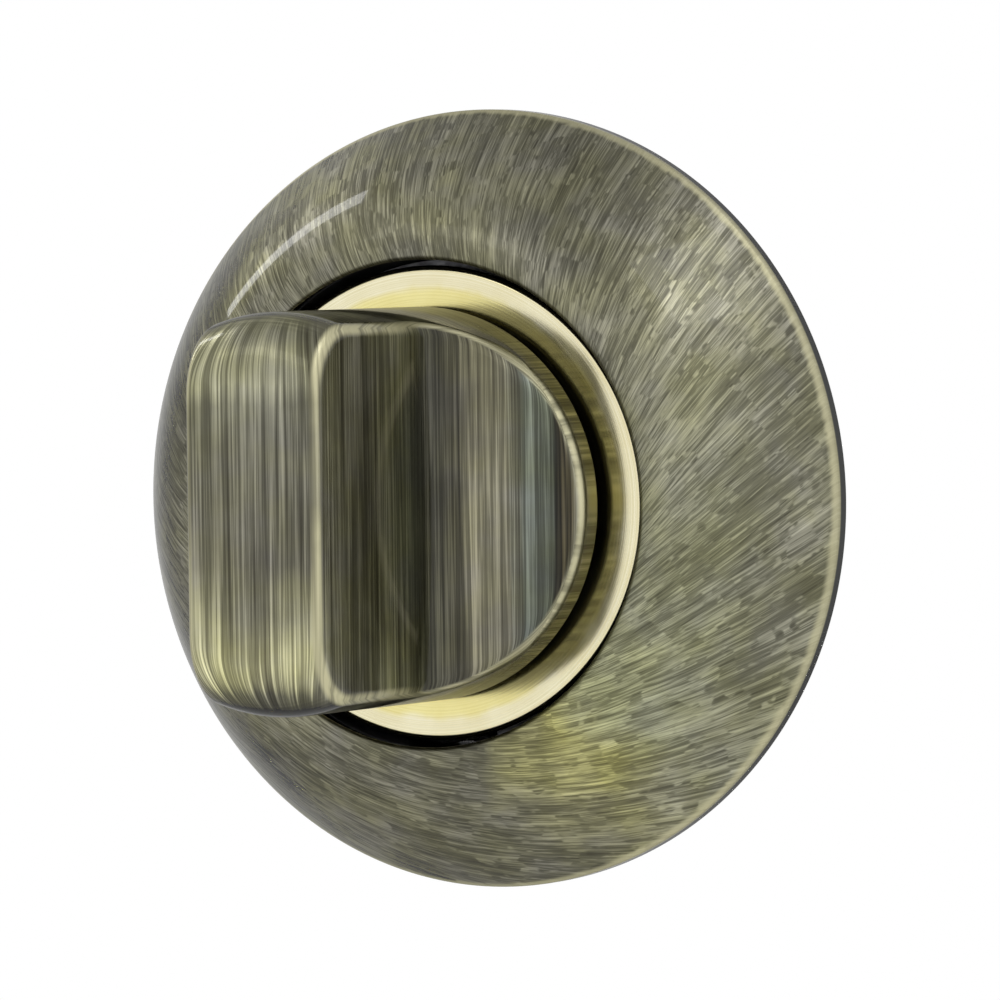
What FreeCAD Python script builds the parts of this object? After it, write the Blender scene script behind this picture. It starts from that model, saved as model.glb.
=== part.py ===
# Bathroom thumb turn: the inside half of a lock set, on a round rosette.
# Frame: the origin lies on the spindle's axis in the plane of the door's face, +Z is up,
# and the knob stands out towards -Y. A level is a distance in front of the door's face,
# so a point at level h has y = -h, and what lies inside the door has a negative level.
import FreeCAD, Part
import math
import os

from FreeCAD import Vector

# Rosette cover: a pressed dome with a low upright rim and a mouth turned in to a collar
rosette_face_width = 9.9
cover_wall = 1.2
rim_level = 1.3
lip_level = 10.6
lip_chamfer = 0.4
dome_shoulder_inset = 5.3
collar_end_level = 5.2

# Trim ring: a polished face close under the knob's flange, on a spigot pressed into the hub
trim_face_level = 9.35
trim_face_thickness = 1.6
trim_mouth_gap = 0.6
trim_face_width = 3.0
trim_overlap = 0.5
trim_edge_chamfer = 0.8
spigot_wall = 1.05
spigot_gap = 0.05

# Knob: a round flange and a wing left standing between two scoops
knob_radius = 13.0
flange_bottom_level = 10.2
tip_level = 33.2
tip_corner_radius = 4.0
wing_tip_half_thickness = 4.9
flank_taper_angle = 1.0
scoop_overrun = 0.1
scoop_floor_level = 12.9
flange_bottom_chamfer = 0.3
neck_inset = 1.8
journal_radius = 7.0
journal_end_level = -1.4
journal_flat_depth = 1.2

# Base plate: a round plate with a hub, under the cover
plate_side_gap = 1.6
plate_thickness = 2.6
plate_edge_chamfer = 0.4
hub_side_gap = 0.8
web_thickness = 2.4
web_rear_level = 2.6
pocket_side_gap = 0.6

# Bush between hub and journal
bush_wall = 0.9
bush_flange_inset = 0.3
bush_flange_thickness = 1.0
running_gap = 0.05
press_gap = 0.02

# Snap ring of flat spring wire that holds the cover on the hub
snap_ring_width = 1.2
snap_ring_level = 5.9
snap_ring_opening_angle = 24.0
snap_ring_side_gap = 0.05

# Stop washer with one tab, and the two pins that stop it a quarter turn apart
stop_washer_width = 2.2
stop_washer_thickness = 1.0
stop_washer_pin_gap = 0.4
tab_beyond_pins = 1.0
tab_half_angle = 12.0
tab_rest_angle = -45.0
turn_angle = 90.0
stop_pin_radius = 1.0
stop_pin_depth = 1.8
stop_pin_stand_out = 1.7

# Dished spring washer and circlip behind the stop washer
spring_washer_inset = 0.1
spring_washer_thickness = 0.5
spring_washer_height = 1.35
circlip_thickness = 0.95
circlip_groove_depth = 0.8
circlip_radial_width = 1.75
circlip_opening_angle = 36.0
circlip_lug_radius = 1.5
circlip_lug_hole_radius = 0.65
circlip_side_gap = 0.04

# Spindle: a square bar, pinned across the neck
spindle_side = 6.0
spindle_front_level = 21.0
spindle_end_level = -38.0
spindle_gap = 0.05
spindle_end_chamfer = 0.6
pin_radius = 1.25
pin_wall = 0.45
pin_slot_width = 0.5
pin_end_inset = 1.2
pin_level = 8.1

# Machine screws through the plate, with split washers
screw_edge_distance = 4.2
screw_thread_radius = 2.0
screw_shank_radius = 1.8
screw_hole_radius = 2.15
screw_length = 25.0
screw_head_radius = 3.5
screw_head_height = 2.5
screw_head_chamfer = 0.5
screw_seat_depth = 1.5
screw_seat_radius = 4.0
screw_tip_chamfer = 0.5
recess_width = 0.9
recess_span = 4.2
recess_depth = 1.5
lock_washer_inner_radius = 2.1
lock_washer_outer_radius = 3.7
lock_washer_thickness = 0.9
lock_washer_slit = 0.6

# Countersunk wood screws through the plate
wood_screw_edge_distance = 4.3
wood_screw_left_angle = 135.0
wood_screw_head_radius = 3.4
wood_screw_shank_radius = 1.75
wood_screw_hole_radius = 1.95
wood_screw_head_land = 0.3
wood_screw_length = 16.0
wood_screw_point_length = 4.0
wood_screw_recess_span = 3.2
wood_screw_recess_depth = 1.2
countersink_gap = 0.05

# Sizes that follow from the ones above
trim_inner_radius = knob_radius - trim_overlap
trim_outer_radius = trim_inner_radius + trim_face_width
mouth_radius = trim_outer_radius + trim_mouth_gap
rosette_radius = mouth_radius + rosette_face_width
plate_radius = rosette_radius - cover_wall - plate_side_gap
web_front_level = web_rear_level + web_thickness
trim_back_level = trim_face_level - trim_face_thickness
hub_radius = mouth_radius - hub_side_gap
spigot_radius = trim_inner_radius + spigot_wall
bush_top_level = web_front_level + bush_flange_thickness
neck_bottom_level = bush_top_level + running_gap
neck_radius = knob_radius - neck_inset
journal_flat_offset = journal_radius - journal_flat_depth
bush_inner_radius = journal_radius + running_gap
bush_outer_radius = bush_inner_radius + bush_wall
bush_bore_radius = bush_outer_radius + press_gap
bush_flange_radius = neck_radius - bush_flange_inset
stop_washer_radius = journal_radius + stop_washer_width
stop_pin_circle_radius = stop_washer_radius + stop_washer_pin_gap + stop_pin_radius
tab_reach_radius = stop_pin_circle_radius + tab_beyond_pins
pocket_radius = tab_reach_radius + pocket_side_gap
stop_washer_front_level = web_rear_level - running_gap
stop_washer_rear_level = stop_washer_front_level - stop_washer_thickness
spring_washer_rear_level = stop_washer_rear_level - spring_washer_height
spring_washer_outer_radius = stop_washer_radius - spring_washer_inset
circlip_front_level = spring_washer_rear_level
circlip_rear_level = circlip_front_level - circlip_thickness
circlip_inner_radius = journal_radius - circlip_groove_depth + running_gap
circlip_outer_radius = circlip_inner_radius + circlip_radial_width
pin_length = 2 * (neck_radius - pin_end_inset)
screw_spacing = 2 * (plate_radius - screw_edge_distance)
screw_seat_level = plate_thickness - screw_seat_depth
wood_screw_circle_radius = plate_radius - wood_screw_edge_distance
lock_washer_top_level = screw_seat_level + lock_washer_thickness
snap_ring_outer_radius = mouth_radius - running_gap
snap_ring_inner_radius = snap_ring_outer_radius - snap_ring_width
tall = 4 * rosette_radius

AXIS_POINT = Vector(0, 0, 0)
AXIS = Vector(0, 1, 0)


def at(radius, level):
    """The point at this radius and level in the half plane that is turned about the spindle's axis."""
    return Vector(radius, -level, 0)


def polar(radius, angle, level=0.0):
    """The point at this radius and angle, counted from +X towards +Z as seen from the front."""
    a = math.radians(angle)
    return Vector(radius * math.cos(a), -level, radius * math.sin(a))


def chain(points):
    """Straight edges from each (radius, level) to the next."""
    places = [at(*p) for p in points]
    return [Part.LineSegment(a, b).toShape() for a, b in zip(places, places[1:])]


def arc(start, middle, end):
    return Part.Arc(at(*start), at(*middle), at(*end)).toShape()


def turned(edges):
    """The solid swept by a closed outline, given as edges in order."""
    face = Part.Face(Part.Wire(edges))
    solid = face.revolve(AXIS_POINT, AXIS, 360)
    if solid.Volume < 0:
        solid.reverse()
    return solid


def ring(inner, outer, rear_level, front_level):
    corners = [(inner, rear_level), (outer, rear_level), (outer, front_level), (inner, front_level)]
    return turned(chain(corners + corners[:1]))


def disc(radius, rear_level, front_level, place=AXIS_POINT):
    base = Vector(place.x, -front_level, place.z)
    return Part.makeCylinder(radius, front_level - rear_level, base, AXIS)


def block(x_size, z_size, rear_level, front_level, place=AXIS_POINT):
    corner = Vector(place.x - x_size / 2, -front_level, place.z - z_size / 2)
    return Part.makeBox(x_size, front_level - rear_level, z_size, corner)


def prism(points, rear_level, front_level):
    """A solid of this (x, z) outline between two levels."""
    corners = [Vector(x, -front_level, z) for x, z in points]
    face = Part.Face(Part.makePolygon(corners + corners[:1]))
    return face.extrude(Vector(0, front_level - rear_level, 0))


def dome_curve(offset):
    """Lip end, middle pole and rim end of the dome's curve, moved inwards by offset."""
    run = dome_shoulder_inset
    rise = lip_level - rim_level
    slope = math.hypot(run, rise)
    lip_end = (mouth_radius + lip_chamfer, lip_level - offset)
    rim_shift = (offset * rise / slope, offset * run / slope)
    corner = (rosette_radius - rim_shift[0], rim_level - rim_shift[1])
    pole = (corner[0] - run * (lip_end[1] - corner[1]) / rise, lip_end[1])
    side_radius = rosette_radius - offset
    side_level = corner[1] - (side_radius - corner[0]) * rise / run
    return lip_end, pole, (side_radius, side_level)


def bezier(*points):
    curve = Part.BezierCurve()
    curve.setPoles([at(*p) for p in points])
    return curve.toShape()


def bezier_point(points, t):
    weights = ((1 - t) ** 2, 2 * t * (1 - t), t ** 2)
    return tuple(sum(w * p[i] for w, p in zip(weights, points)) for i in (0, 1))


def rosette_cover():
    """Pressed dome. Its inside follows the outside in a few plain cones, as far as the wall allows."""
    lip_end, pole, rim_end = dome_curve(0.0)
    inside = dome_curve(cover_wall)
    collar_outer_radius = mouth_radius + cover_wall
    inside = ((collar_outer_radius, inside[0][1]),) + inside[1:]
    inside_steps = [bezier_point(inside, t) for t in (0, 0.3, 0.6, 1)]
    edges = chain([(inside[2][0], 0), (rosette_radius, 0), rim_end])
    edges.append(bezier(rim_end, pole, lip_end))
    edges += chain([
        lip_end,
        (mouth_radius, lip_level - lip_chamfer),
        (mouth_radius, collar_end_level),
        (collar_outer_radius, collar_end_level),
    ] + inside_steps + [(inside[2][0], 0)])
    return turned(edges)


def trim_ring():
    chamfer_level = trim_face_level - trim_edge_chamfer
    spigot_end = web_front_level + running_gap
    section = [
        (trim_inner_radius, spigot_end),
        (spigot_radius, spigot_end),
        (spigot_radius, trim_back_level),
        (trim_outer_radius, trim_back_level),
        (trim_outer_radius, chamfer_level),
        (trim_outer_radius - trim_edge_chamfer, trim_face_level),
        (trim_inner_radius, trim_face_level),
    ]
    return turned(chain(section + section[:1]))


def knob_blank():
    """The turned form from which the scoops are taken: flat front, rounded corner, upright wall."""
    corner_radius = knob_radius - tip_corner_radius
    corner_level = tip_level - tip_corner_radius
    slant = tip_corner_radius * math.sin(math.radians(45))
    edges = chain([
        (0, flange_bottom_level),
        (knob_radius - flange_bottom_chamfer, flange_bottom_level),
        (knob_radius, flange_bottom_level + flange_bottom_chamfer),
        (knob_radius, corner_level),
    ])
    edges.append(arc(
        (knob_radius, corner_level),
        (corner_radius + slant, corner_level + slant),
        (corner_radius, tip_level),
    ))
    edges += chain([(corner_radius, tip_level), (0, tip_level), (0, flange_bottom_level)])
    blank = turned(edges)
    blank.rotate(AXIS_POINT, AXIS, 90)
    return blank


def scoop(side):
    """What is taken away beside the wing: a long round hollow along Z, tangent to the tapered flank."""
    taper = math.radians(flank_taper_angle)
    centre_x = knob_radius + scoop_overrun
    flank_run = (tip_level - scoop_floor_level) * math.tan(taper)
    round_share = math.cos(taper) - math.tan(taper) * (1 - math.sin(taper))
    radius = (centre_x - wing_tip_half_thickness - flank_run) / round_share
    centre_level = scoop_floor_level + radius

    def on_round(angle):
        return (centre_x - radius * math.cos(angle), centre_level - radius * math.sin(angle))

    flank_end = on_round(taper)
    beyond = 2.0
    far = centre_x + beyond
    above = tip_level + beyond
    flank_top = (wing_tip_half_thickness - beyond * math.tan(taper), above)
    edges = [arc(flank_end, on_round(math.radians(45)), on_round(math.radians(90)))]
    edges += chain([
        (centre_x, scoop_floor_level),
        (far, scoop_floor_level),
        (far, above),
        flank_top,
        flank_end,
    ])
    face = Part.Face(Part.Wire(edges))
    face.translate(Vector(0, 0, -tall / 2))
    cut = face.extrude(Vector(0, 0, tall))
    if side < 0:
        cut = cut.mirror(AXIS_POINT, Vector(1, 0, 0))
    return cut


def wing_and_flange():
    """Its edges are left sharp here."""
    body = knob_blank()
    for side in (1, -1):
        body = body.cut(scoop(side))
    return body


def knob():
    solid = wing_and_flange()
    solid = solid.fuse(disc(neck_radius, neck_bottom_level, flange_bottom_level + 1))
    journal = disc(journal_radius, journal_end_level, neck_bottom_level + 1)
    groove_floor = journal_radius - circlip_groove_depth
    journal = journal.cut(ring(
        groove_floor,
        journal_radius + 1,
        circlip_rear_level - circlip_side_gap,
        circlip_front_level + circlip_side_gap,
    ))
    flat_depth = 2 * journal_radius
    for side in (1, -1):
        flat_place = Vector(side * (journal_flat_offset + flat_depth / 2), 0, 0)
        journal = journal.cut(block(flat_depth, tall, journal_end_level - 1, web_rear_level, flat_place))
    solid = solid.fuse(journal)
    socket_side = spindle_side + 2 * spindle_gap
    socket_top = spindle_front_level + spindle_gap
    solid = solid.cut(block(socket_side, socket_side, journal_end_level - 1, socket_top))
    solid = solid.cut(cross_hole(pin_radius + press_gap))
    return solid.removeSplitter()


def cross_hole(radius):
    return Part.makeCylinder(radius, tall, Vector(0, -pin_level, -tall / 2), Vector(0, 0, 1))


def spindle():
    bar = block(spindle_side, spindle_side, spindle_end_level, spindle_front_level)
    bar = bar.makeChamfer(spindle_end_chamfer, end_edges(bar, spindle_end_level))
    return bar.cut(cross_hole(pin_radius + press_gap))


def spindle_pin():
    upright = Vector(0, 0, 1)
    tube = Part.makeCylinder(pin_radius, pin_length, Vector(0, -pin_level, -pin_length / 2), upright)
    core = Part.makeCylinder(pin_radius - pin_wall, tall, Vector(0, -pin_level, -tall / 2), upright)
    slot_corner = Vector(0, -pin_level - pin_slot_width / 2, -tall / 2)
    slot = Part.makeBox(pin_radius * 2, pin_slot_width, tall, slot_corner)
    return tube.cut(core).cut(slot)


def bearing_bush():
    sleeve = ring(bush_inner_radius, bush_outer_radius, web_rear_level, bush_top_level)
    flange = ring(bush_inner_radius, bush_flange_radius, web_front_level, bush_top_level)
    return sleeve.fuse(flange).removeSplitter()


def screw_place(side):
    return Vector(0, 0, side * screw_spacing / 2)


def wood_screw_place(side):
    """The left screw's place at side 1, and the one opposite it at side -1."""
    return side * polar(wood_screw_circle_radius, wood_screw_left_angle)


def countersunk(place, gap):
    """The shape of a countersunk head with its shank, grown by gap at the sides."""
    head_depth = wood_screw_head_radius - wood_screw_shank_radius
    land_level = plate_thickness - wood_screw_head_land
    cone = Part.makeCone(
        wood_screw_head_radius + gap,
        wood_screw_shank_radius + gap,
        head_depth,
        Vector(place.x, -land_level, place.z),
        AXIS,
    )
    land = disc(wood_screw_head_radius + gap, land_level, plate_thickness, place)
    return cone.fuse(land)


def stop_pin_angles():
    side_gap = math.degrees(math.asin((stop_pin_radius + running_gap) / stop_pin_circle_radius))
    beyond = tab_half_angle + side_gap
    return {"start": tab_rest_angle + beyond, "end": tab_rest_angle - turn_angle - beyond}


def base_plate():
    corner = plate_thickness - plate_edge_chamfer
    section = [
        (pocket_radius, 0),
        (plate_radius, 0),
        (plate_radius, corner),
        (plate_radius - plate_edge_chamfer, plate_thickness),
        (hub_radius, plate_thickness),
        (hub_radius, trim_back_level),
        (spigot_radius + spigot_gap, trim_back_level),
        (spigot_radius + spigot_gap, web_front_level),
        (bush_bore_radius, web_front_level),
        (bush_bore_radius, web_rear_level),
        (pocket_radius, web_rear_level),
    ]
    plate = turned(chain(section + section[:1]))
    groove_half = snap_ring_width / 2 + snap_ring_side_gap
    plate = plate.cut(ring(
        snap_ring_inner_radius - snap_ring_side_gap,
        hub_radius + 1,
        snap_ring_level - groove_half,
        snap_ring_level + groove_half,
    ))
    for side in (1, -1):
        place = screw_place(side)
        plate = plate.cut(disc(screw_hole_radius, -1, plate_thickness, place))
        plate = plate.cut(disc(screw_seat_radius, screw_seat_level, tall, place))
        place = wood_screw_place(side)
        plate = plate.cut(disc(wood_screw_hole_radius, -1, plate_thickness, place))
        plate = plate.cut(countersunk(place, countersink_gap))
    for angle in stop_pin_angles().values():
        hole_top = web_rear_level + stop_pin_depth + running_gap
        place = polar(stop_pin_circle_radius, angle)
        plate = plate.cut(disc(stop_pin_radius + press_gap, web_rear_level - 1, hole_top, place))
    return plate


def stop_pin(angle):
    place = polar(stop_pin_circle_radius, angle)
    rear = web_rear_level - stop_pin_stand_out
    return disc(stop_pin_radius, rear, web_rear_level + stop_pin_depth, place)


def sector(middle_angle, half_angle, rear_level, front_level):
    """A wedge about the axis, longer than the part is wide."""
    corners = [(0, 0)]
    for angle in (middle_angle - half_angle, middle_angle + half_angle):
        a = math.radians(angle)
        corners.append((tall * math.cos(a), tall * math.sin(a)))
    return prism(corners, rear_level, front_level)


def snap_ring():
    """A ring of flat wire, open at the bottom."""
    rear = snap_ring_level - snap_ring_width / 2
    front = snap_ring_level + snap_ring_width / 2
    whole = ring(snap_ring_inner_radius, snap_ring_outer_radius, rear, front)
    return whole.cut(sector(-90, snap_ring_opening_angle / 2, rear - 1, front + 1))


def stop_washer():
    washer = disc(stop_washer_radius, stop_washer_rear_level, stop_washer_front_level)
    wedge = sector(tab_rest_angle, tab_half_angle, stop_washer_rear_level, stop_washer_front_level)
    tab = wedge.common(disc(tab_reach_radius, stop_washer_rear_level, stop_washer_front_level))
    hole = disc(journal_radius + running_gap, 0, tall)
    hole = hole.common(block(2 * (journal_flat_offset + running_gap), tall, 0, tall))
    return washer.fuse(tab).cut(hole).removeSplitter()


def spring_washer():
    """A dished washer: its outer edge bears on the stop washer, its inner edge on the circlip."""
    inner = journal_radius + 2 * running_gap
    outer = spring_washer_outer_radius
    section = [
        (inner, spring_washer_rear_level),
        (outer, stop_washer_rear_level - spring_washer_thickness),
        (outer, stop_washer_rear_level),
        (inner, spring_washer_rear_level + spring_washer_thickness),
    ]
    return turned(chain(section + section[:1]))


def circlip():
    clip = ring(circlip_inner_radius, circlip_outer_radius, circlip_rear_level, circlip_front_level)
    half = circlip_opening_angle / 2
    clip = clip.cut(sector(90, half, circlip_rear_level - 1, circlip_front_level + 1))
    lug_circle = circlip_inner_radius + circlip_lug_radius
    lug_turn = half + math.degrees(circlip_lug_radius / lug_circle)
    for angle in (90 - lug_turn, 90 + lug_turn):
        place = polar(lug_circle, angle)
        clip = clip.fuse(disc(circlip_lug_radius, circlip_rear_level, circlip_front_level, place))
    below = circlip_rear_level - 1
    above = circlip_front_level + 1
    for angle in (90 - lug_turn, 90 + lug_turn):
        place = polar(lug_circle, angle)
        clip = clip.cut(disc(circlip_lug_hole_radius, below, above, place))
    return clip.removeSplitter()


def end_edges(solid, level):
    """The edges of a solid that lie flat at this level."""
    return [e for e in solid.Edges if e.BoundBox.YLength < 1e-6 and abs(e.BoundBox.YMin + level) < 1e-6]


def cross_recess(place, top_level, span, depth):
    """The cross slot of a screw head."""
    one = block(recess_width, span, top_level - depth, top_level + 1, place)
    other = block(span, recess_width, top_level - depth, top_level + 1, place)
    return one.fuse(other)


def door_screw(side):
    """A machine screw. Its thread starts where the shank leaves the plate."""
    place = screw_place(side)
    top = lock_washer_top_level + screw_head_height
    head = disc(screw_head_radius, lock_washer_top_level, top, place)
    head = head.makeChamfer(screw_head_chamfer, end_edges(head, top))
    end_level = lock_washer_top_level - screw_length
    thread = disc(screw_thread_radius, end_level, 0, place)
    thread = thread.makeChamfer(screw_tip_chamfer, end_edges(thread, end_level))
    screw = head.fuse(disc(screw_shank_radius, 0, lock_washer_top_level, place)).fuse(thread)
    return screw.cut(cross_recess(place, top, recess_span, recess_depth))


def lock_washer(side):
    place = screw_place(side)
    below = screw_seat_level - 1
    above = lock_washer_top_level + 1
    washer = disc(lock_washer_outer_radius, screw_seat_level, lock_washer_top_level, place)
    washer = washer.cut(disc(lock_washer_inner_radius, below, above, place))
    slit_place = place + Vector(lock_washer_outer_radius, 0, 0)
    return washer.cut(block(2 * lock_washer_outer_radius, lock_washer_slit, below, above, slit_place))


def wood_screw(side):
    place = wood_screw_place(side)
    head = countersunk(place, 0.0)
    point_level = plate_thickness - wood_screw_length
    shank_end = point_level + wood_screw_point_length
    shank = disc(wood_screw_shank_radius, shank_end, plate_thickness - wood_screw_head_land, place)
    point = Part.makeCone(
        wood_screw_shank_radius,
        0,
        wood_screw_point_length,
        Vector(place.x, -shank_end, place.z),
        AXIS,
    )
    screw = head.fuse(shank).fuse(point)
    return screw.cut(cross_recess(place, plate_thickness, wood_screw_recess_span, wood_screw_recess_depth))


def all_pieces():
    pieces = {
        "rosette_cover": rosette_cover(),
        "trim_ring": trim_ring(),
        "knob": knob(),
        "base_plate": base_plate(),
        "snap_ring": snap_ring(),
        "bearing_bush": bearing_bush(),
        "stop_washer": stop_washer(),
        "spring_washer": spring_washer(),
        "circlip": circlip(),
        "spindle": spindle(),
        "spindle_pin": spindle_pin(),
    }
    for name, angle in stop_pin_angles().items():
        pieces["stop_pin_" + name] = stop_pin(angle)
    for name, side in (("upper", 1), ("lower", -1)):
        pieces["door_screw_" + name] = door_screw(side)
        pieces["lock_washer_" + name] = lock_washer(side)
    for name, side in (("left", 1), ("right", -1)):
        pieces["wood_screw_" + name] = wood_screw(side)
    return pieces


os.makedirs("parts", exist_ok=True)
for name, shape in all_pieces().items():
    print(name, "solids", len(shape.Solids), "volume", round(shape.Volume, 1), "valid", shape.isValid())
    shape.exportStep("parts/" + name + ".step")
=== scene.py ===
"""Looks of the bathroom thumb turn: a brushed bronze rosette and knob with a polished gold ring.

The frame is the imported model's: metres, +Z up, the knob stands out towards -Y. A level is a
distance in front of the door's face, so a point at level h has y = -h. Shapes are worked out
in millimetres and turned into metres when their mesh is made.
"""
import math

import bpy
import numpy as np
from mathutils import Matrix, Vector


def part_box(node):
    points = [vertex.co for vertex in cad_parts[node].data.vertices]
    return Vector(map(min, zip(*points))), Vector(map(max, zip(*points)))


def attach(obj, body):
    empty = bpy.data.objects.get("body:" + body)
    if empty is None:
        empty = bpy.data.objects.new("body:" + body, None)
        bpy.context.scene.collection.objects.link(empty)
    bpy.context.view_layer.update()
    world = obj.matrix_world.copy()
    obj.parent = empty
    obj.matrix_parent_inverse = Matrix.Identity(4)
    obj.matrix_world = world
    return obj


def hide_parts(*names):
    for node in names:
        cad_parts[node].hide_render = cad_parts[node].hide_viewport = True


MM = 0.001

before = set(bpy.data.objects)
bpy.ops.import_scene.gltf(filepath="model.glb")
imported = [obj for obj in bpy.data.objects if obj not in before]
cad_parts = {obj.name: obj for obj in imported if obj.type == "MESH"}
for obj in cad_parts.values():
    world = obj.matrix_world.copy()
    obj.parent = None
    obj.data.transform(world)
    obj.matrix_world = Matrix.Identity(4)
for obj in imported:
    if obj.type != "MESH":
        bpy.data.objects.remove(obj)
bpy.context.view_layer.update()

# Sizes read from the frame, in millimetres
KNOB_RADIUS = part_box("knob")[1].x / MM
TIP_LEVEL = -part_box("knob")[0].y / MM
JOURNAL_END_LEVEL = -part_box("knob")[1].y / MM
ROSETTE_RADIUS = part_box("rosette_cover")[1].x / MM
LIP_LEVEL = -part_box("rosette_cover")[0].y / MM
TRIM_OUTER_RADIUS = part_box("trim_ring")[1].x / MM
TRIM_FACE_LEVEL = -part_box("trim_ring")[0].y / MM
TRIM_END_LEVEL = -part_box("trim_ring")[1].y / MM

# Rosette cover
MOUTH_GAP = 0.6
MOUTH_RADIUS = TRIM_OUTER_RADIUS + MOUTH_GAP
COVER_WALL = 1.2
RIM_LEVEL = 1.3
RIM_ROUND = 0.5
RIM_BACK_ROUND = 0.15
LIP_ROUND = 0.3
LIP_SHARE = 0.8
DOME_SHOULDER_WIDTH = 5.3
DOME_SHOULDER_RADIUS = ROSETTE_RADIUS - DOME_SHOULDER_WIDTH
DOME_POINTS = 56
DOME_INSIDE_POINTS = 12
COLLAR_END_LEVEL = 5.2
COLLAR_CLEARANCE = 0.2
COVER_COLUMNS = 384

# Trim ring
TRIM_INNER_RADIUS = 12.5
TRIM_THICKNESS = 1.6
TRIM_FLAT_RADIUS = 14.1
TRIM_CROWN_RADIUS = 9.5
TRIM_REACH_GAIN = 0.2
TRIM_FACE_REACH = TRIM_OUTER_RADIUS + TRIM_REACH_GAIN
TRIM_EDGE_ROUND = 0.45
TRIM_EDGE_MARGIN = 1.2 * TRIM_EDGE_ROUND
TRIM_CORNER_RUN = 0.1
TRIM_BORE_ROUND = 0.1
TRIM_BACK_BEVEL = 0.6
TRIM_CROWN_POINTS = 12
TRIM_COLUMNS = 320
SPIGOT_RADIUS = 13.55

# Knob
TIP_CORNER_RADIUS = 4.0
WING_TIP_HALF_THICKNESS = 4.9
FLANK_TAPER = math.radians(1.0)
SCOOP_OVERRUN = 0.1
SCOOP_FLOOR_LEVEL = 12.9
WING_EDGE_ROUND = 0.7
FLANGE_RIM_ROUND = 1.2
FLANGE_BOTTOM_LEVEL = 10.2
FLANGE_EDGE_ROUND = 0.3
FLANGE_NEAR_LEVEL = 15.5
FLANGE_NEAR_RUN = 2.4
NECK_RADIUS = 11.2
NECK_END_LEVEL = 6.05
NECK_ROUND = 0.2
JOURNAL_RADIUS = 7.0
JOURNAL_FLAT_OFFSET = 5.8
JOURNAL_FLAT_LEVEL = 2.6
CIRCLIP_GROOVE_RADIUS = 6.2
CIRCLIP_GROOVE_LEVELS = (0.24, -0.79)

# Edges rubbed bright and given a painted highlight, in shares of their round: the wing's in the
# middle, the flange's low
WING_WEAR_AND_HIGHLIGHT_SHARE = 0.57
FLANGE_WEAR_AND_HIGHLIGHT_START = 0.6
FLANGE_WEAR_AND_HIGHLIGHT_RUN = 0.27
FLANGE_WEAR_AND_HIGHLIGHT_SCOOP_SHARE = 0.2
FLANGE_WEAR_AND_HIGHLIGHT_LEVEL = 24
FLANGE_WEAR_AND_HIGHLIGHT_FADE = 6

# Points of the knob's grids: across the wing, then along tip corner, flank, scoop and rim
ACROSS_POINTS = 109
CORNER_POINTS = 30
FLANK_POINTS = 20
SCOOP_POINTS = 64
RIM_POINTS = 22
SETTLE_STEPS = 8
SAME_PLACE = 1e-6

# Screws
THREAD_FLAT_SHARE = 0.06
THREAD_SHARP_ANGLE = math.radians(40)
NODE_TOLERANCE = 0.001
SHANK_TOLERANCE = 0.01

# Photograph: camera fitted to it, and the frame's width in pixels
PHOTO_PIXELS = 1000
SENSOR_WIDTH = 36.0
FOCAL_PIXELS = 8656.0
CAMERA_AZIMUTH = 28.3
CAMERA_ELEVATION = 2.0
CAMERA_ROLL = -0.7
CAMERA_DISTANCE = 0.573
CAMERA_TARGET = Vector((0.00333, -0.00587, 0.0001))

FLOOR_HEIGHT = -0.075
FLOOR_RADIUS = 0.42
FLOOR_CORNERS = 96
FLOOR_FADE_SHARE = 0.55
LAMP_DISTANCE = 0.7


# Meshes

def new_piece(name, corners_mm, faces, material, body, node=None, normals=None, marks=None):
    """A smooth mesh piece that rides on a body and may stand for a node."""
    mesh = bpy.data.meshes.new(name)
    mesh.from_pydata((np.asarray(corners_mm) * MM).tolist(), [], faces)
    mesh.materials.append(material)
    mesh.shade_smooth()
    if normals is not None:
        mesh.normals_split_custom_set_from_vertices(normals.tolist())
    for mark, values in (marks or {}).items():
        mesh.attributes.new(mark, "FLOAT", "POINT").data.foreach_set("value", values)
    piece = bpy.data.objects.new(name, mesh)
    bpy.context.scene.collection.objects.link(piece)
    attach(piece, body)
    if node:
        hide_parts(node)
    return piece


def rounded_outline(points, steps=7, support=0.02):
    """An outline of (radius, level) points. A third value on a point rounds its corner."""
    count = len(points)
    outline = []
    for i, point in enumerate(points):
        here = np.array(point[:2], float)
        radius = point[2] if len(point) > 2 else 0.0
        before = np.array(points[(i - 1) % count][:2], float) - here
        after = np.array(points[(i + 1) % count][:2], float) - here
        before /= np.linalg.norm(before)
        after /= np.linalg.norm(after)
        if radius <= 0:
            outline += [here + before * support, here, here, here + after * support]
            continue
        half = math.acos(np.clip(before @ after, -1, 1)) / 2
        reach = radius / math.tan(half)
        centre = here + (before + after) / np.linalg.norm(before + after) * radius / math.sin(half)
        start = here + before * reach
        end = here + after * reach
        outline.append(start + before * support)
        turn = math.pi - 2 * half
        for k in range(steps + 1):
            share = k / steps
            a = (start - centre) * math.sin((1 - share) * turn) / math.sin(turn)
            b = (end - centre) * math.sin(share * turn) / math.sin(turn)
            outline.append(centre + a + b)
        outline.append(end + after * support)
    return np.array(outline)


def turned(outline, angles):
    """Corners and faces of a closed outline turned about the Y axis through these angles."""
    rows = len(outline)
    columns = len(angles)
    radius, level = outline[:, 0][:, None], outline[:, 1][:, None]
    corners = np.stack([
        radius * np.cos(angles)[None, :],
        -level * np.ones((1, columns)),
        radius * np.sin(angles)[None, :],
    ], -1).reshape(-1, 3)
    faces = []
    for i in range(rows):
        for k in range(columns):
            a, b = i * columns, ((i + 1) % rows) * columns
            n = (k + 1) % columns
            faces.append((a + k, a + n, b + n, b + k))
    return corners, faces


def open_outline(points):
    """A rounded outline without its plain first and last corners."""
    return rounded_outline(points)[4:-4]


def full_turn(columns):
    """Angles of this many columns spread evenly over one turn."""
    return np.linspace(0, 2 * math.pi, columns, endpoint=False)


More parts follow.
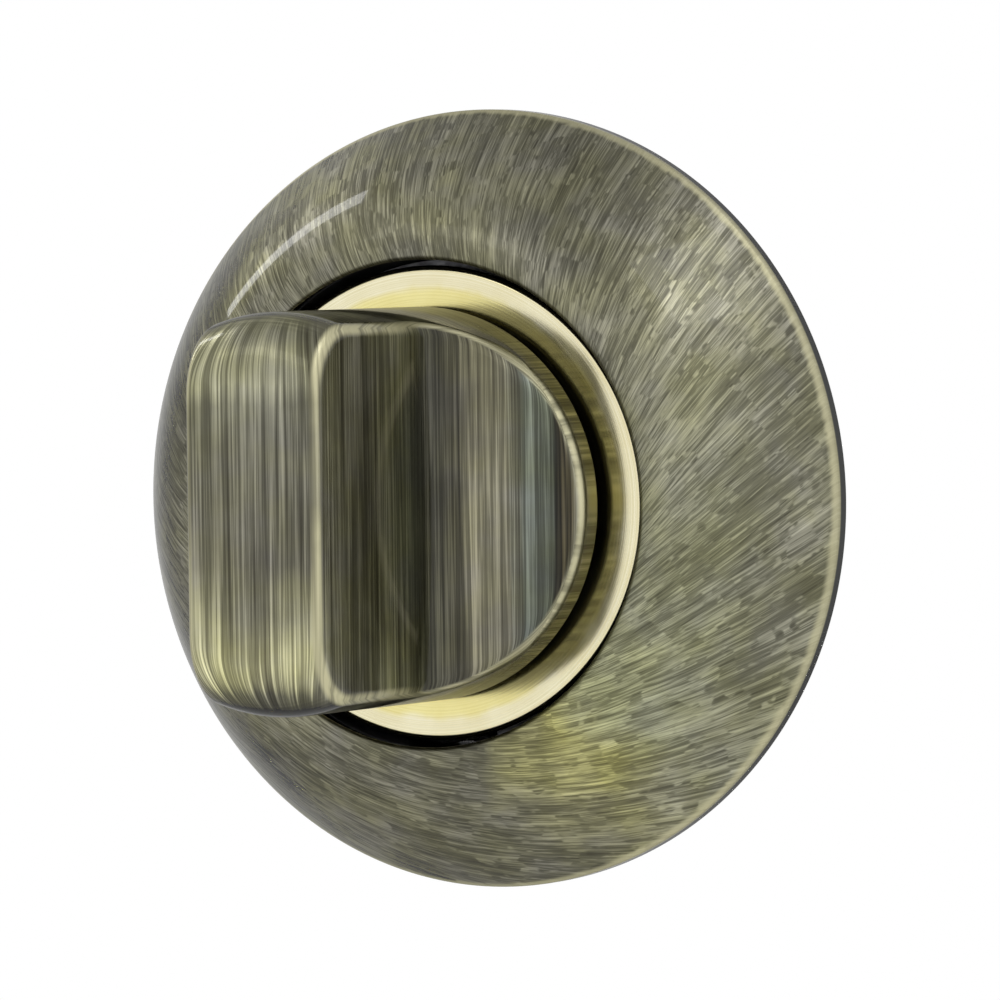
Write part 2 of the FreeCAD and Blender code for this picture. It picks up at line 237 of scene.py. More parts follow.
def dome_points(offset, count):
    """Points of the dome's curve from rim to lip, on its outside or moved inwards by offset."""
    run = ROSETTE_RADIUS - DOME_SHOULDER_RADIUS
    rise = LIP_LEVEL - RIM_LEVEL
    slope = math.hypot(run, rise)
    lip = np.array((MOUTH_RADIUS + LIP_ROUND * LIP_SHARE, LIP_LEVEL - offset))
    corner = np.array((ROSETTE_RADIUS - offset * rise / slope, RIM_LEVEL - offset * run / slope))
    pole = np.array((corner[0] - run * (lip[1] - corner[1]) / rise, lip[1]))
    t = np.linspace(0, 1, count)[:, None]
    return (1 - t) ** 2 * corner + 2 * t * (1 - t) * pole + t ** 2 * lip


def make_cover(material):
    """The cover: rim, dome, rounded lip and the collar behind the mouth."""
    outer = dome_points(0, DOME_POINTS)
    inner = dome_points(COVER_WALL, DOME_INSIDE_POINTS)[::-1]
    collar = MOUTH_RADIUS + COVER_WALL
    inner = [tuple(p) for p in inner if p[0] > collar + COLLAR_CLEARANCE]
    corner_points = [
        (ROSETTE_RADIUS - COVER_WALL, 0.0),
        (ROSETTE_RADIUS, 0.0, RIM_BACK_ROUND),
        (outer[0][0], outer[0][1], RIM_ROUND),
    ]
    curve = [
        tuple(p) for p in outer
        if math.dist(p, outer[0]) > RIM_ROUND and math.dist(p, outer[-1]) > LIP_ROUND
    ]
    head = open_outline(corner_points + [curve[0]])
    lip_turn = open_outline([
        curve[-1],
        (MOUTH_RADIUS, LIP_LEVEL, LIP_ROUND),
        (MOUTH_RADIUS, COLLAR_END_LEVEL),
    ])
    tail = [
        (MOUTH_RADIUS, COLLAR_END_LEVEL),
        (collar, COLLAR_END_LEVEL),
        (collar, LIP_LEVEL - COVER_WALL),
    ] + inner + [(ROSETTE_RADIUS - COVER_WALL, 0.0)]
    outline = np.array([tuple(p) for p in head] + curve + [tuple(p) for p in lip_turn] + tail)
    corners, faces = turned(outline, full_turn(COVER_COLUMNS))
    return new_piece(
        "rosette_cover_finished", corners, faces, material, "rosette",
        "rosette_cover",
    )


def make_trim(material):
    """The ring: a flat face that falls away in a crown to a rounded edge, and the spigot."""
    back = TRIM_FACE_LEVEL - TRIM_THICKNESS
    edge = TRIM_FACE_REACH - TRIM_FLAT_RADIUS
    fall = TRIM_CROWN_RADIUS - math.sqrt(TRIM_CROWN_RADIUS ** 2 - edge ** 2)
    slope = edge / TRIM_CROWN_RADIUS
    crown = []
    for reach in np.linspace(edge - TRIM_EDGE_MARGIN, 0, TRIM_CROWN_POINTS):
        drop = TRIM_CROWN_RADIUS - math.sqrt(TRIM_CROWN_RADIUS ** 2 - reach ** 2)
        crown.append((TRIM_FLAT_RADIUS + reach, TRIM_FACE_LEVEL - drop))
    around = open_outline([
        crown[-1],
        (TRIM_INNER_RADIUS, TRIM_FACE_LEVEL, TRIM_BORE_ROUND),
        (TRIM_INNER_RADIUS, TRIM_END_LEVEL),
        (SPIGOT_RADIUS, TRIM_END_LEVEL),
        (SPIGOT_RADIUS, back),
        (TRIM_OUTER_RADIUS, back),
        (TRIM_FACE_REACH, back + TRIM_BACK_BEVEL),
        (TRIM_FACE_REACH, TRIM_FACE_LEVEL - fall + slope * TRIM_CORNER_RUN, TRIM_EDGE_ROUND),
        crown[0],
    ])
    outline = np.concatenate([around, crown])
    corners, faces = turned(outline, full_turn(TRIM_COLUMNS))
    return new_piece(
        "trim_ring_finished", corners, faces, material, "rosette", "trim_ring",
    )


# Knob: a turned blank less two scoops, with the edges between them rounded

def scoop_circle():
    """Centre (x, level) and radius of the scoop's round."""
    centre_x = KNOB_RADIUS + SCOOP_OVERRUN
    run = (TIP_LEVEL - SCOOP_FLOOR_LEVEL) * math.tan(FLANK_TAPER)
    share = math.cos(FLANK_TAPER) - math.tan(FLANK_TAPER) * (1 - math.sin(FLANK_TAPER))
    radius = (centre_x - WING_TIP_HALF_THICKNESS - run) / share
    return centre_x, SCOOP_FLOOR_LEVEL + radius, radius


def nearness_to_flange(level, start=FLANGE_NEAR_LEVEL, run=FLANGE_NEAR_RUN):
    """0 from the start level up and 1 a run below it, with a soft change between."""
    share = np.clip((start - level) / run, 0, 1)
    return share * share * (3 - 2 * share)


def edge_round(level):
    """Radius of the edge between blank and scoop: small on the wing, larger on the flange."""
    return WING_EDGE_ROUND + (FLANGE_RIM_ROUND - WING_EDGE_ROUND) * nearness_to_flange(level)


def edge_wear_and_highlight(p):
    """1 where edges are rubbed bright and carry a painted highlight: the middle of the wing's, and
    low on the flange's.
    """
    blank, scoop = (side / edge_round(p[:, 1]) for side in side_distances(p))
    middle = np.clip(np.minimum(blank, scoop) / WING_WEAR_AND_HIGHLIGHT_SHARE, 0, 1)
    low = np.clip((blank - FLANGE_WEAR_AND_HIGHLIGHT_START) / FLANGE_WEAR_AND_HIGHLIGHT_RUN, 0, 1)
    low = low * np.clip(scoop / FLANGE_WEAR_AND_HIGHLIGHT_SCOOP_SHARE, 0, 1)
    share = nearness_to_flange(p[:, 1], FLANGE_WEAR_AND_HIGHLIGHT_LEVEL, FLANGE_WEAR_AND_HIGHLIGHT_FADE)
    return middle * (1 - share) + low * share


def side_distances(p):
    """How far points lie outside the blank and inside the scoops, plus the edge's round.

    Points of the knob are (x, level, z).
    """
    x, level, z = np.abs(p[:, 0]), p[:, 1], p[:, 2]
    r = np.hypot(x, z)
    out_r = r - (KNOB_RADIUS - TIP_CORNER_RADIUS)
    out_level = level - (TIP_LEVEL - TIP_CORNER_RADIUS)
    blank = np.hypot(np.maximum(out_r, 0), np.maximum(out_level, 0))
    blank += np.minimum(np.maximum(out_r, out_level), 0) - TIP_CORNER_RADIUS
    centre_x, centre_level, radius = scoop_circle()
    dx, dl = x - centre_x, level - centre_level
    c, s = math.cos(FLANK_TAPER), math.sin(FLANK_TAPER)
    flank = dx * c + dl * s + radius
    scoop = np.where(dl * c - dx * s > 0, flank, radius - np.hypot(dx, dl))
    around = edge_round(p[:, 1])
    return blank + around, scoop + around


def knob_distance(p):
    """How far points lie outside the knob with rounded edges."""
    a, b = side_distances(p)
    outside = np.hypot(np.maximum(a, 0), np.maximum(b, 0))
    return np.minimum(np.maximum(a, b), 0) + outside - edge_round(p[:, 1])


def knob_gradient(p):
    """The way in which knob_distance grows at each point."""
    step = 1e-4
    columns = []
    for axis in range(3):
        shift = np.zeros(3)
        shift[axis] = step
        columns.append((knob_distance(p + shift) - knob_distance(p - shift)) / (2 * step))
    return np.stack(columns, -1)


def settle(p):
    """Points moved onto the rounded knob along the steepest way."""
    for _ in range(SETTLE_STEPS):
        g = knob_gradient(p)
        p = p - (knob_distance(p) / np.maximum((g * g).sum(-1), 1e-9))[:, None] * g
    return p


def scoop_stations():
    """Edge points (x, level) of the scoop from the front down to the wall."""
    corner_level = TIP_LEVEL - TIP_CORNER_RADIUS
    centre_x, centre_level, radius = scoop_circle()
    flank_end = centre_level - radius * math.sin(FLANK_TAPER)
    corner = np.linspace(math.pi / 2, 0, CORNER_POINTS)
    levels = [corner_level + TIP_CORNER_RADIUS * math.sin(a) for a in corner]
    levels += list(np.linspace(corner_level, flank_end, FLANK_POINTS)[1:])
    stations = [
        (WING_TIP_HALF_THICKNESS + (TIP_LEVEL - v) * math.tan(FLANK_TAPER), v) for v in levels
    ]
    last = math.acos(SCOOP_OVERRUN / radius)
    share = np.sin(np.linspace(0, math.pi / 2, SCOOP_POINTS)[1:])
    for a in FLANK_TAPER + share * (last - FLANK_TAPER):
        stations.append((centre_x - radius * math.cos(a), centre_level - radius * math.sin(a)))
    return stations


def blank_radius(level):
    """Radius of the turned blank at a level, with its rounded corner at the tip."""
    rise = max(level - (TIP_LEVEL - TIP_CORNER_RADIUS), 0)
    return KNOB_RADIUS - TIP_CORNER_RADIUS + math.sqrt(max(TIP_CORNER_RADIUS ** 2 - rise ** 2, 0))


def knob_back(ring):
    """Rows of points round the flange's back, the neck, and the journal with its flats."""
    outline = rounded_outline([
        (NECK_RADIUS, FLANGE_BOTTOM_LEVEL + 1),
        (KNOB_RADIUS, FLANGE_BOTTOM_LEVEL + 1),
        (KNOB_RADIUS, FLANGE_BOTTOM_LEVEL, FLANGE_EDGE_ROUND),
        (NECK_RADIUS, FLANGE_BOTTOM_LEVEL),
        (NECK_RADIUS, NECK_END_LEVEL, NECK_ROUND),
        (JOURNAL_RADIUS, NECK_END_LEVEL),
        (JOURNAL_RADIUS, JOURNAL_FLAT_LEVEL),
        (JOURNAL_RADIUS, CIRCLIP_GROOVE_LEVELS[0]),
        (CIRCLIP_GROOVE_RADIUS, CIRCLIP_GROOVE_LEVELS[0]),
        (CIRCLIP_GROOVE_RADIUS, CIRCLIP_GROOVE_LEVELS[1]),
        (JOURNAL_RADIUS, CIRCLIP_GROOVE_LEVELS[1]),
        (JOURNAL_RADIUS, JOURNAL_END_LEVEL, NECK_ROUND),
        (0.0, JOURNAL_END_LEVEL),
    ])
    rim_end = FLANGE_BOTTOM_LEVEL + FLANGE_EDGE_ROUND + SAME_PLACE
    first = next(
        i for i, p in enumerate(outline)
        if abs(p[0] - KNOB_RADIUS) < SAME_PLACE and p[1] < rim_end
    )
    last = max(
        i for i, p in enumerate(outline)
        if p[0] < SAME_PLACE and abs(p[1] - JOURNAL_END_LEVEL) < SAME_PLACE
    )
    rows = []
    for r, v in outline[first:last + 1]:
        reach = JOURNAL_FLAT_OFFSET if v < JOURNAL_FLAT_LEVEL - SAME_PLACE else r
        x = np.clip(r * np.cos(ring), -reach, reach)
        row = np.stack([x, np.full_like(ring, v), r * np.sin(ring)], -1)
        rows.append(np.vstack([row, row[:1]]))
    return rows


def make_knob(material):
    """The knob: grids of points over flanks, scoops, ends and tip, settled, and its back."""
    spread = np.sin(np.linspace(-math.pi / 2, math.pi / 2, ACROSS_POINTS))
    stations = scoop_stations()
    runs = [0.0] + [math.dist(a, b) for a, b in zip(stations, stations[1:])]
    girths = stations[0][0] + np.cumsum(runs)
    corners = []
    faces = []
    girth = []

    def add_grid(rows):
        """Rows of points become corners, with faces between them."""
        base = sum(len(c) for c in corners)
        rows = np.array(rows)
        count, width = rows.shape[:2]
        corners.append(rows.reshape(-1, 3))
        for i in range(count - 1):
            for k in range(width - 1):
                a = base + i * width + k
                faces.append((a, a + 1, a + width + 1, a + width))

    def half_width(x, level):
        """Half the blank's width along Z, at this distance from the wing's middle."""
        return math.sqrt(max(blank_radius(level) ** 2 - x * x, 0))

    for side in (1, -1):
        add_grid([[(side * x, v, t * half_width(x, v)) for t in spread] for x, v in stations])
        girth += [np.full(len(spread), side * g) for g in girths]
    for side in (1, -1):
        rows = []
        for (x, v), g in zip(stations, girths):
            start = math.atan2(half_width(x, v), x)
            angles = math.pi / 2 - (math.pi / 2 - start) * spread
            r = blank_radius(v)
            rows.append([(r * math.cos(a), v, side * r * math.sin(a)) for a in angles])
            girth.append(g * np.cos(angles) / math.cos(start))
        last_level = stations[-1][1]
        rim_end = FLANGE_BOTTOM_LEVEL + FLANGE_EDGE_ROUND
        for v in np.linspace(last_level, rim_end, RIM_POINTS)[1:]:
            rows.append([
                (KNOB_RADIUS * math.cos(a), v, side * KNOB_RADIUS * math.sin(a)) for a in angles
            ])
            girth.append(girth[-1])
        ring_angles = angles
        add_grid(rows)
    front_radius = KNOB_RADIUS - TIP_CORNER_RADIUS
    start = math.atan2(half_width(*stations[0]), stations[0][0])
    rows = []
    for a in math.pi / 2 - (math.pi / 2 - start) * spread:
        rows.append([
            (front_radius * math.cos(a), TIP_LEVEL, t * front_radius * math.sin(a)) for t in spread
        ])
        girth.append(np.full(len(spread), front_radius * math.cos(a)))
    add_grid(rows)

    head = settle(np.concatenate(corners))
    normals = knob_gradient(head)
    normals /= np.linalg.norm(normals, axis=1)[:, None]
    # Share of each point rubbed bright and given a painted highlight.
    wear_and_highlight = edge_wear_and_highlight(head)
    corners = [head]

    add_grid(knob_back(np.concatenate([ring_angles, -ring_angles[::-1][1:-1]])))

    points = np.concatenate(corners)
    all_normals = np.zeros_like(points)
    all_normals[:len(head)] = normals
    points[:, 1] *= -1
    all_normals[:, 1] *= -1
    marks = {"wear_and_highlight": np.zeros(len(points)), "girth": points[:, 0].copy()}
    marks["wear_and_highlight"][:len(head)] = wear_and_highlight
    marks["girth"][:len(head)] = np.concatenate(girth)
    return weld_knob(points, faces, all_normals, marks, material)


def weld(points, faces):
    """Indices of the points that stay when those in one place are joined, and their faces."""
    keys = {}
    index = []
    kept = []
    for i, p in enumerate(np.round(points, 4)):
        key = tuple(p + 0.0)
        if key not in keys:
            keys[key] = len(kept)
            kept.append(i)
        index.append(keys[key])
    joined = []
    for face in faces:
        ring = list(dict.fromkeys(index[corner] for corner in face))
        if len(ring) > 2:
            joined.append(ring)
    return kept, joined


def weld_knob(points, faces, normals, marks, material):
    """Joins corners in the same place and turns every face outwards."""
    kept, joined = weld(points, faces)
    points, normals = points[kept], normals[kept]
    marks = {mark: values[kept] for mark, values in marks.items()}
    for ring in joined:
        a, b, c = points[ring[0]], points[ring[1]], points[ring[2]]
        if np.cross(b - a, c - a) @ normals[ring].sum(0) < 0:
            ring.reverse()
    return new_piece(
        "knob_finished", points, joined, material, "turn", "knob",
        normals, marks,
    )


# Screws: the node's head with a real thread below it

def make_screw(
    node, material, radius, pitch, depth, crest_share, plain=0.0, columns=36, steps=8,
):
    """A screw with its node's head and a thread cut below it, after a plain length."""
    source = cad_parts[node]
    corners = np.array([source.matrix_world @ v.co for v in source.data.vertices]) / MM
    tip = corners[:, 1].max()
    centre_x, centre_z = (corners.min(0) + corners.max(0))[[0, 2]] / 2
    out = np.hypot(corners[:, 0] - centre_x, corners[:, 2] - centre_z)
    shank = corners[np.abs(out - radius) < SHANK_TOLERANCE, 1]
    start, end = shank.min(), shank.max()
    tip_radius = out[corners[:, 1] > tip - NODE_TOLERANCE].max()
    head = [
        tuple(f.vertices) for f in source.data.polygons
        if corners[list(f.vertices), 1].max() < start + NODE_TOLERANCE
    ]

    row = np.arange(-steps, (tip - start) / pitch * steps + 1)[:, None]
    column = np.arange(columns + 1)[None, :] / columns
    y = np.clip(start + pitch * (row / steps + column), start, tip)
    side = np.abs(2 * (((y - start) / pitch - column) % 1.0) - 1)
    groove = np.clip((side - THREAD_FLAT_SHARE) / (crest_share - THREAD_FLAT_SHARE), 0, 1)
    groove = groove * np.clip((y - start - plain) / pitch, 0, 1)
    r = np.interp(y, [start, end, tip], [1, 1, tip_radius / radius]) * (radius - depth * groove)
    angle = 2 * math.pi * column
    thread = np.stack([centre_x + r * np.cos(angle), y, centre_z + r * np.sin(angle)], -1)
    thread = thread.reshape(-1, 3)
    base, width = len(corners), columns + 1
    turns = []
    for i in range(len(row) - 1):
        for k in range(columns):
            a = base + i * width + k
            turns.append((a, a + width, a + width + 1, a + 1))
    last = base + (len(row) - 1) * width
    turns.append(tuple(range(last, last + columns))[::-1])
    points = np.concatenate([corners, thread])
    kept, faces = weld(points, head + turns)
    used = sorted({corner for face in faces for corner in face})
    place = {corner: i for i, corner in enumerate(used)}
    faces = [[place[corner] for corner in face] for face in faces]
    piece = new_piece(
        node + "_threaded", points[kept][used], faces, material, "rosette", node,
    )
    piece.data.set_sharp_from_angle(angle=THREAD_SHARP_ANGLE)


# Materials

class Surface:
    """A material's nodes, built up by short calls. Object coordinates are taken in millimetres."""

    def __init__(self, name, metallic=1.0, **fixed):
        self.material = bpy.data.materials.new(name)
        self.material.use_nodes = True
        self.tree = self.material.node_tree
        self.shader = self.tree.nodes["Principled BSDF"]
        self.shader.inputs["Metallic"].default_value = metallic
        for key, value in fixed.items():
            self.shader.inputs[key.replace("_", " ")].default_value = value
        coordinates = self.node("TexCoord").outputs["Object"]
        self.place = self.vector("SCALE", coordinates, scale=1 / MM)
        self.x, self.y, self.z = self.node("SeparateXYZ", {0: self.place}).outputs

    def node(self, kind, inputs=None, **settings):
        """A node with its inputs linked or set, and its settings."""
        made = self.tree.nodes.new("ShaderNode" + kind)
        for key, value in settings.items():
            setattr(made, key, value)
        for key, value in (inputs or {}).items():
            if isinstance(value, bpy.types.NodeSocket):
                self.tree.links.new(value, made.inputs[key])
            else:
                made.inputs[key].default_value = value
        return made

    def math(self, operation, a, b=0.0, c=0.0):
        return self.node("Math", {0: a, 1: b, 2: c}, operation=operation).outputs[0]

    def times(self, a, b):
        return self.math("MULTIPLY", a, b)

    def weighted(self, *terms):
        """The sum of values, each given with its weight."""
        value, weight = terms[-1]
        total = self.times(value, weight)
        for value, weight in terms[-2::-1]:
            total = self.math("MULTIPLY_ADD", value, weight, total)
        return total

    def vector(self, operation, a, b=(0, 0, 0), scale=1.0):
        return self.node("VectorMath", {0: a, 1: b, 3: scale}, operation=operation).outputs[0]

    def combine(self, x, y, z):
        return self.node("CombineXYZ", {0: x, 1: y, 2: z}).outputs[0]

    def noise(self, vector, detail=2.0, scale=1.0, roughness=0.5):
        inputs = {"Vector": vector, "Scale": scale, "Detail": detail, "Roughness": roughness}
        return self.node("TexNoise", inputs).outputs["Fac"]

    def stretch(self, value, low, high, to_low=0.0, to_high=1.0, kind="LINEAR"):
        """A value's range spread over another, and held at its ends."""
        inputs = {0: value, 1: low, 2: high, 3: to_low, 4: to_high}
        return self.node("MapRange", inputs, interpolation_type=kind).outputs[0]

    def blend(self, share, a, b, mode="MIX"):
        a, b = ((*v, 1) if isinstance(v, tuple) else v for v in (a, b))
        made = self.node("Mix", {0: share, 6: a, 7: b}, data_type="RGBA", blend_type=mode)
        return made.outputs[2]

    def tint(self, colour, by):
        return self.blend(1.0, colour, by, "MULTIPLY")

    def bands(self, value, low, high, stops):
        """A colour that runs through (value, colour) stops."""
        made = self.node("ValToRGB", {0: self.stretch(value, low, high)})
        elements = made.color_ramp.elements
        while len(elements) < len(stops):
            elements.new(0.5)
        for element, (place, colour) in zip(elements, stops):
            element.position = (place - low) / (high - low)
            element.color = (*colour, 1)
        return made.outputs[0]

    def colour(self, value):
        self.tree.links.new(value, self.shader.inputs["Base Color"])

    def roughness(self, value):
        self.tree.links.new(value, self.shader.inputs["Roughness"])

    def bump(self, height, depth_mm):
        made = self.node("Bump", {"Strength": 1.0, "Distance": depth_mm * MM, "Height": height})
        self.tree.links.new(made.outputs[0], self.shader.inputs["Normal"])

    def brushed_along(self, tangent):
        """The direction of the strokes, given in object coordinates."""
        made = self.node(
            "VectorTransform", {0: tangent}, vector_type="VECTOR",
            convert_from="OBJECT", convert_to="WORLD",
        )
        self.tree.links.new(made.outputs[0], self.shader.inputs["Tangent"])

    def hues(self):
        """Soft clouds that lean from olive to grey."""
        cloud = self.stretch(self.noise(self.place, detail=2, scale=0.28), 0.35, 0.65)
        return self.blend(cloud, (1.02, 1.02, 0.9), (0.98, 0.98, 1.07))

    def reach(self):
        """Distance from the spindle's axis."""
        squares = self.math("MULTIPLY_ADD", self.x, self.x, self.math("MULTIPLY", self.z, self.z))
        return self.math("SQRT", squares)


DARK_BRONZE = (0.055, 0.051, 0.034)
MID_BRONZE = (0.155, 0.15, 0.105)
LIGHT_BRONZE = (0.42, 0.405, 0.3)
WORN_AND_HIGHLIGHT_BRONZE = (0.55, 0.52, 0.33)
DARK_STEEL = (0.06, 0.062, 0.06)
UNLIT_BRONZE = (0.004, 0.004, 0.003)
LACQUER = {
    "Coat_Weight": 0.4,
    "Coat_Roughness": 0.06,
    "Coat_IOR": 1.45,
    "Anisotropic": 0.55,
    "Specular_Tint": (0.2, 0.2, 0.2, 1),
}

# Strokes of the dome: their direction at +X, the bearing on either side beyond which it
# turns slower, its two rates, the width of a patch, and the radius where sizes are true
HEADING_AT_X = math.radians(48)
HEADING_BEND = math.radians(120)
HEADING_EXTRA_RATE = 1 / 2
HEADING_RATE = 1 / 6
PATCH_STEP = math.radians(20)
STROKE_RADIUS = 21.0

# Painted light and shade of the dome round the axis, for the studio's reflections, in degrees from
# +X towards +Z
ROUND_PAINTED_LIGHT = [
    (-180, (0.92, 0.92, 0.95)),
    (-110, (0.78, 0.78, 0.8)),
    (-70, (0.78, 0.78, 0.76)),
    (-50, (1.75, 1.72, 0.98)),
    (-36, (1.35, 1.42, 1.22)),
    (-10, (1.26, 1.3, 1.18)),
    (47, (1.1, 1.1, 1.07)),
    (65, (0.88, 0.88, 0.88)),
    (88, (1.05, 1.05, 1.02)),
    (130, (0.78, 0.78, 0.77)),
    (194, (0.92, 0.92, 0.95)),
]

# Painted reflections and shade of the knob along its girth: millimetres from the wing's middle
# over flank and scoop
SCOOP_PAINTED_REFLECTIONS = [
    (5.0, (1.3, 1.3, 1.3)),
    (6.5, (1.02, 1.02, 1.02)),
    (11.8, (0.7, 0.7, 0.7)),
    (14.0, (1.35, 1.37, 1.35)),
    (16.2, (1.42, 1.46, 1.42)),
    (18.4, (0.46, 0.47, 0.46)),
    (21.5, (0.42, 0.41, 0.4)),
    (22.9, (1.0, 0.97, 0.97)),
    (25.0, (1.12, 1.1, 1.1)),
    (26.2, (0.7, 0.8, 0.9)),
    (27.9, (0.58, 0.66, 0.72)),
    (28.2, (0.12, 0.12, 0.13)),
    (28.8, (0.1, 0.09, 0.08)),
    (29.6, (0.9, 0.8, 0.64)),
]

# Painted highlight of the wing's front along its height: brighter towards both ends
FRONT_PAINTED_HIGHLIGHT = [
    (-12.4, (0.5, 0.5, 0.5)),
    (-11.2, (0.85, 0.85, 0.85)),
    (-10.4, (2.05, 2.05, 1.75)),
    (-9.4, (2.35, 2.35, 1.92)),
    (-6.3, (1.42, 1.42, 1.32)),
    (-2.7, (0.77, 0.76, 0.79)),
    (4.9, (0.76, 0.76, 0.77)),
    (7.5, (0.95, 0.96, 0.92)),
    (8.8, (1.54, 1.56, 1.42)),
    (10.6, (1.13, 1.14, 1.04)),
]


def brushed_rosette():
    """Short strokes in patches round the dome, which turn with the bearing."""
    s = Surface("bronze_brushed", **LACQUER)
    radius = s.reach()
    log_radius = s.math("LOGARITHM", radius, math.e)
    angle = s.math("ARCTAN2", s.z, s.x)
    step = PATCH_STEP
    wander = s.math("MULTIPLY_ADD", s.noise(s.place, detail=2, scale=0.5), 2.4, -1.2)
    turn = s.math("MULTIPLY_ADD", angle, 1 / step, wander)

    def heading(bearing):
        """Direction of the strokes. It turns slower on the left, to meet itself there."""
        near = s.stretch(bearing, -HEADING_BEND, HEADING_BEND, -HEADING_BEND, HEADING_BEND)
        slow = s.math("MULTIPLY_ADD", bearing, HEADING_RATE, HEADING_AT_X)
        return s.math("MULTIPLY_ADD", near, HEADING_EXTRA_RATE, slow)

    def patches(offset):
        """Strokes in patches that meet at whole numbers of turn plus a half plus the offset."""
        patch = s.math("ADD", s.math("ROUND", s.math("SUBTRACT", turn, offset)), offset)
        own = s.math("WRAP", patch, math.pi / step, -math.pi / step)
        middle = s.times(own, step)
        lean = s.math("SUBTRACT", heading(middle), middle)
        local = s.math("MULTIPLY_ADD", patch, -step, angle)
        sine, cosine = s.math("SINE", lean), s.math("COSINE", lean)
        across = s.math("SUBTRACT", s.times(local, cosine), s.times(log_radius, sine))
        along = s.math("ADD", s.times(local, sine), s.times(log_radius, cosine))

        def strokes(width, length, seed, detail):
            """Noise drawn out along the strokes, slipped so that their ends don't line up."""
            shift = s.times(own, seed)
            there = s.times(across, STROKE_RADIUS / width)
            slip = s.times(s.noise(s.combine(there, shift, 0.0), scale=0.7), 4.0)
            place = s.math("MULTIPLY_ADD", along, STROKE_RADIUS / length, slip)
            vector = s.combine(there, place, shift)
            return s.stretch(s.noise(vector, detail=detail, roughness=0.65), 0.28, 0.72)

        return strokes(0.16, 3.6, 3.7, 3), strokes(0.7, 6.0, 1.9, 3)

    nearness = s.math("ABSOLUTE", s.math("SUBTRACT", turn, s.math("ROUND", turn)))
    share = s.stretch(nearness, 0.15, 0.35, kind="SMOOTHSTEP")
    fine, broad = (s.stretch(share, 0, 1, a, b) for a, b in zip(patches(0.0), patches(0.5)))
    cloud = s.stretch(s.noise(s.place, detail=3, scale=0.16), 0.3, 0.7)
    tone = s.weighted((fine, 0.55), (broad, 0.25), (cloud, 0.2))
    bronze = s.blend(s.stretch(tone, 0.15, 0.52), DARK_BRONZE, MID_BRONZE)
    bronze = s.blend(s.stretch(tone, 0.46, 0.86), bronze, LIGHT_BRONZE)
    bearing = s.weighted((cloud, 14.0), (angle, math.degrees(1)))
    # Painted light and shade round the dome by bearing, full inwards and weaker towards the rim.
    painted_light_share = s.stretch(radius, 20.5, 24.5, 1.0, 0.35, kind="SMOOTHSTEP")
    bronze = s.blend(painted_light_share, bronze, s.bands(bearing, -180, 194, ROUND_PAINTED_LIGHT), "MULTIPLY")
    bronze = s.tint(bronze, s.hues())
    # The rim rubbed bright, with a painted highlight.
    edge = s.stretch(s.math("MULTIPLY_ADD", broad, 0.15, radius), 25.7, 25.95, kind="SMOOTHSTEP")
    bronze = s.blend(s.times(edge, 0.65), bronze, WORN_AND_HIGHLIGHT_BRONZE)
    wall = s.stretch(s.y, -1.05, -0.8, kind="SMOOTHSTEP")
    bronze = s.blend(wall, bronze, DARK_STEEL)
    # Painted shade: the mouth's wall behind the lip is made near black.
    inside = s.times(s.stretch(radius, 16.2, 16.4, 1, 0), s.stretch(s.y, -10.35, -10.05))
    s.colour(s.blend(inside, bronze, UNLIT_BRONZE))
    s.roughness(s.stretch(tone, 0.0, 1.0, 0.46, 0.3))
    s.bump(tone, 0.012)
    brushing = heading(angle)
    s.brushed_along(s.combine(s.math("COSINE", brushing), 0.0, s.math("SINE", brushing)))
    return s.material


